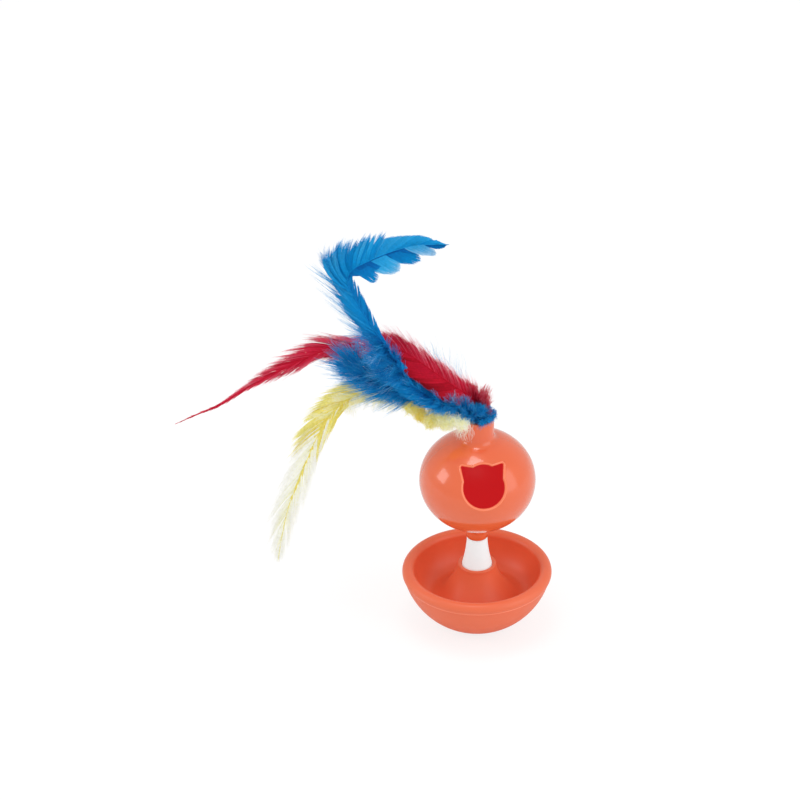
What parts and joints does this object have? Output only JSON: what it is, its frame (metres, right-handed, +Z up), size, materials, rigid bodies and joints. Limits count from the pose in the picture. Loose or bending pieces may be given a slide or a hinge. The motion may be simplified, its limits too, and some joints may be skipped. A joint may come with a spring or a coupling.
{
  "type": "treat dispensing cat toy",
  "caption": "Self-righting weighted base with a treat bowl, a post and a hollow spinning treat ball with a cat head opening and feathers in its neck.",
  "frame": {"origin": "middle of the flat foot under the round bottom, on the axis that the ball turns on", "axes": "+Z up along the stem to the neck of the ball, -Y the side that the cat head opening faces at rest, -X the side that the feathers reach to"},
  "size_m": [0.1992, 0.0802, 0.2436],
  "materials": {
    "base_plastic": "satin",
    "ball_plastic": "gloss",
    "stem_plastic": "satin",
    "weight_iron": "matte",
    "screw_steel": "satin",
    "plug_rubber": "matte",
    "blue_feather": "matte",
    "red_feather": "matte",
    "yellow_feather": "matte"
  },
  "bodies": {
    "base": {"base_lower_shell": "base_plastic", "base_upper_tray": "base_plastic", "counterweight": "weight_iron", "weight_screw_1": "screw_steel", "weight_screw_2": "screw_steel", "weight_screw_3": "screw_steel", "stem": "stem_plastic", "stem_washer": "screw_steel", "stem_screw": "screw_steel", "thrust_washer": "screw_steel", "retaining_washer": "screw_steel", "retaining_screw": "screw_steel"},
    "ball": {"ball_front_shell": "ball_plastic", "ball_rear_shell": "ball_plastic", "feather_plug": "plug_rubber", "blue_long_feather": "blue_feather", "blue_down_feather": "blue_feather", "red_feather": "red_feather", "yellow_feather": "yellow_feather"}
  },
  "joints": [
    {"name": "ball_spin", "type": "hinge", "parent": "base", "child": "ball", "pos_m": [0, 0, 0.0542], "axis": [0, 0, 1], "continuous": true}
  ]
}
